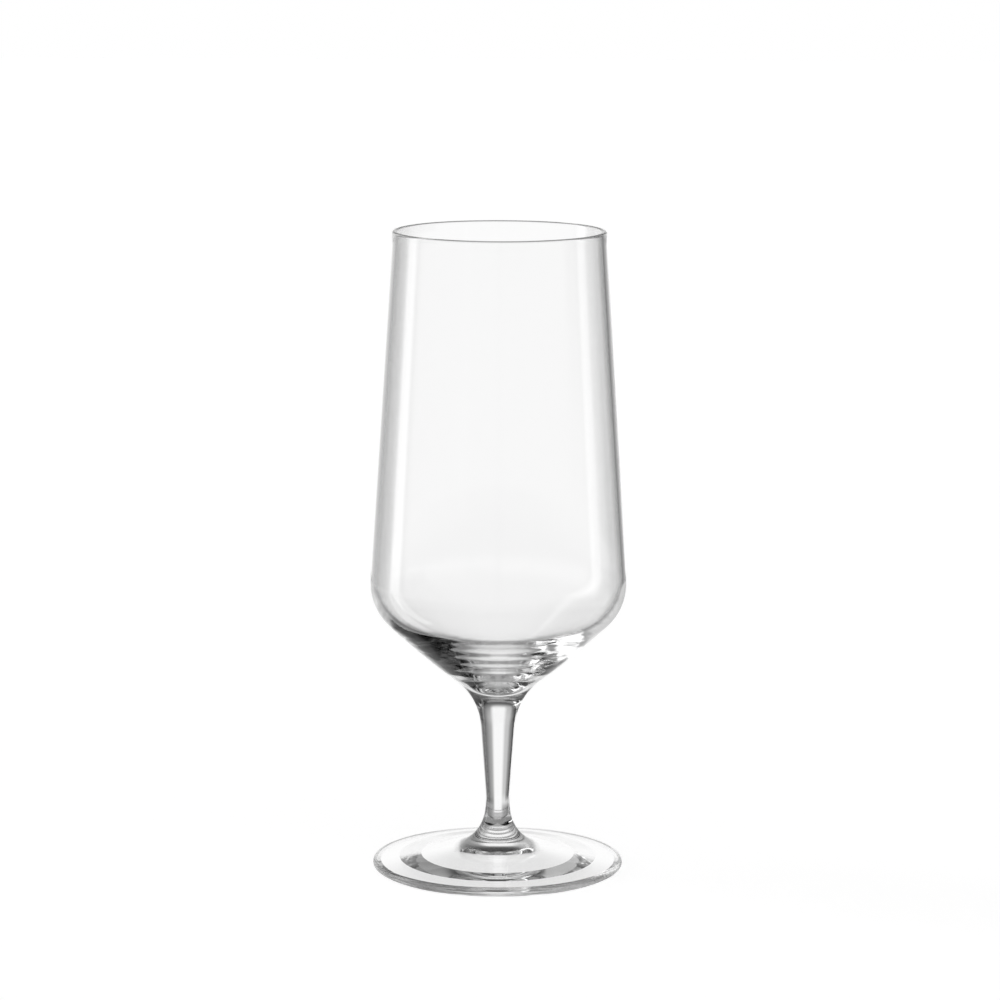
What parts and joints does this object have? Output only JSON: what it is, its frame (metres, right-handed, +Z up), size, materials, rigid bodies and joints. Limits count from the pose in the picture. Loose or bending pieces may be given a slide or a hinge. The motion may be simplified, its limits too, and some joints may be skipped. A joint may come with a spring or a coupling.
{
  "type": "stemmed beer glass",
  "caption": "Stemmed beer glass of clear crystal: a tall bowl that widens to a low shoulder, a tapered stem and a round foot.",
  "frame": {"origin": "centre of the ring that the foot rests on, on the axis of the glass", "axes": "+Z up along the axis of the glass, from the foot to the lip; X and Y lie in the plane that it stands on, and the glass is round about Z"},
  "size_m": [0.0748, 0.0748, 0.188],
  "materials": {
    "crystal_glass": "polished"
  },
  "bodies": {
    "root": {"bowl": "crystal_glass", "stem": "crystal_glass", "foot": "crystal_glass"}
  },
  "joints": []
}
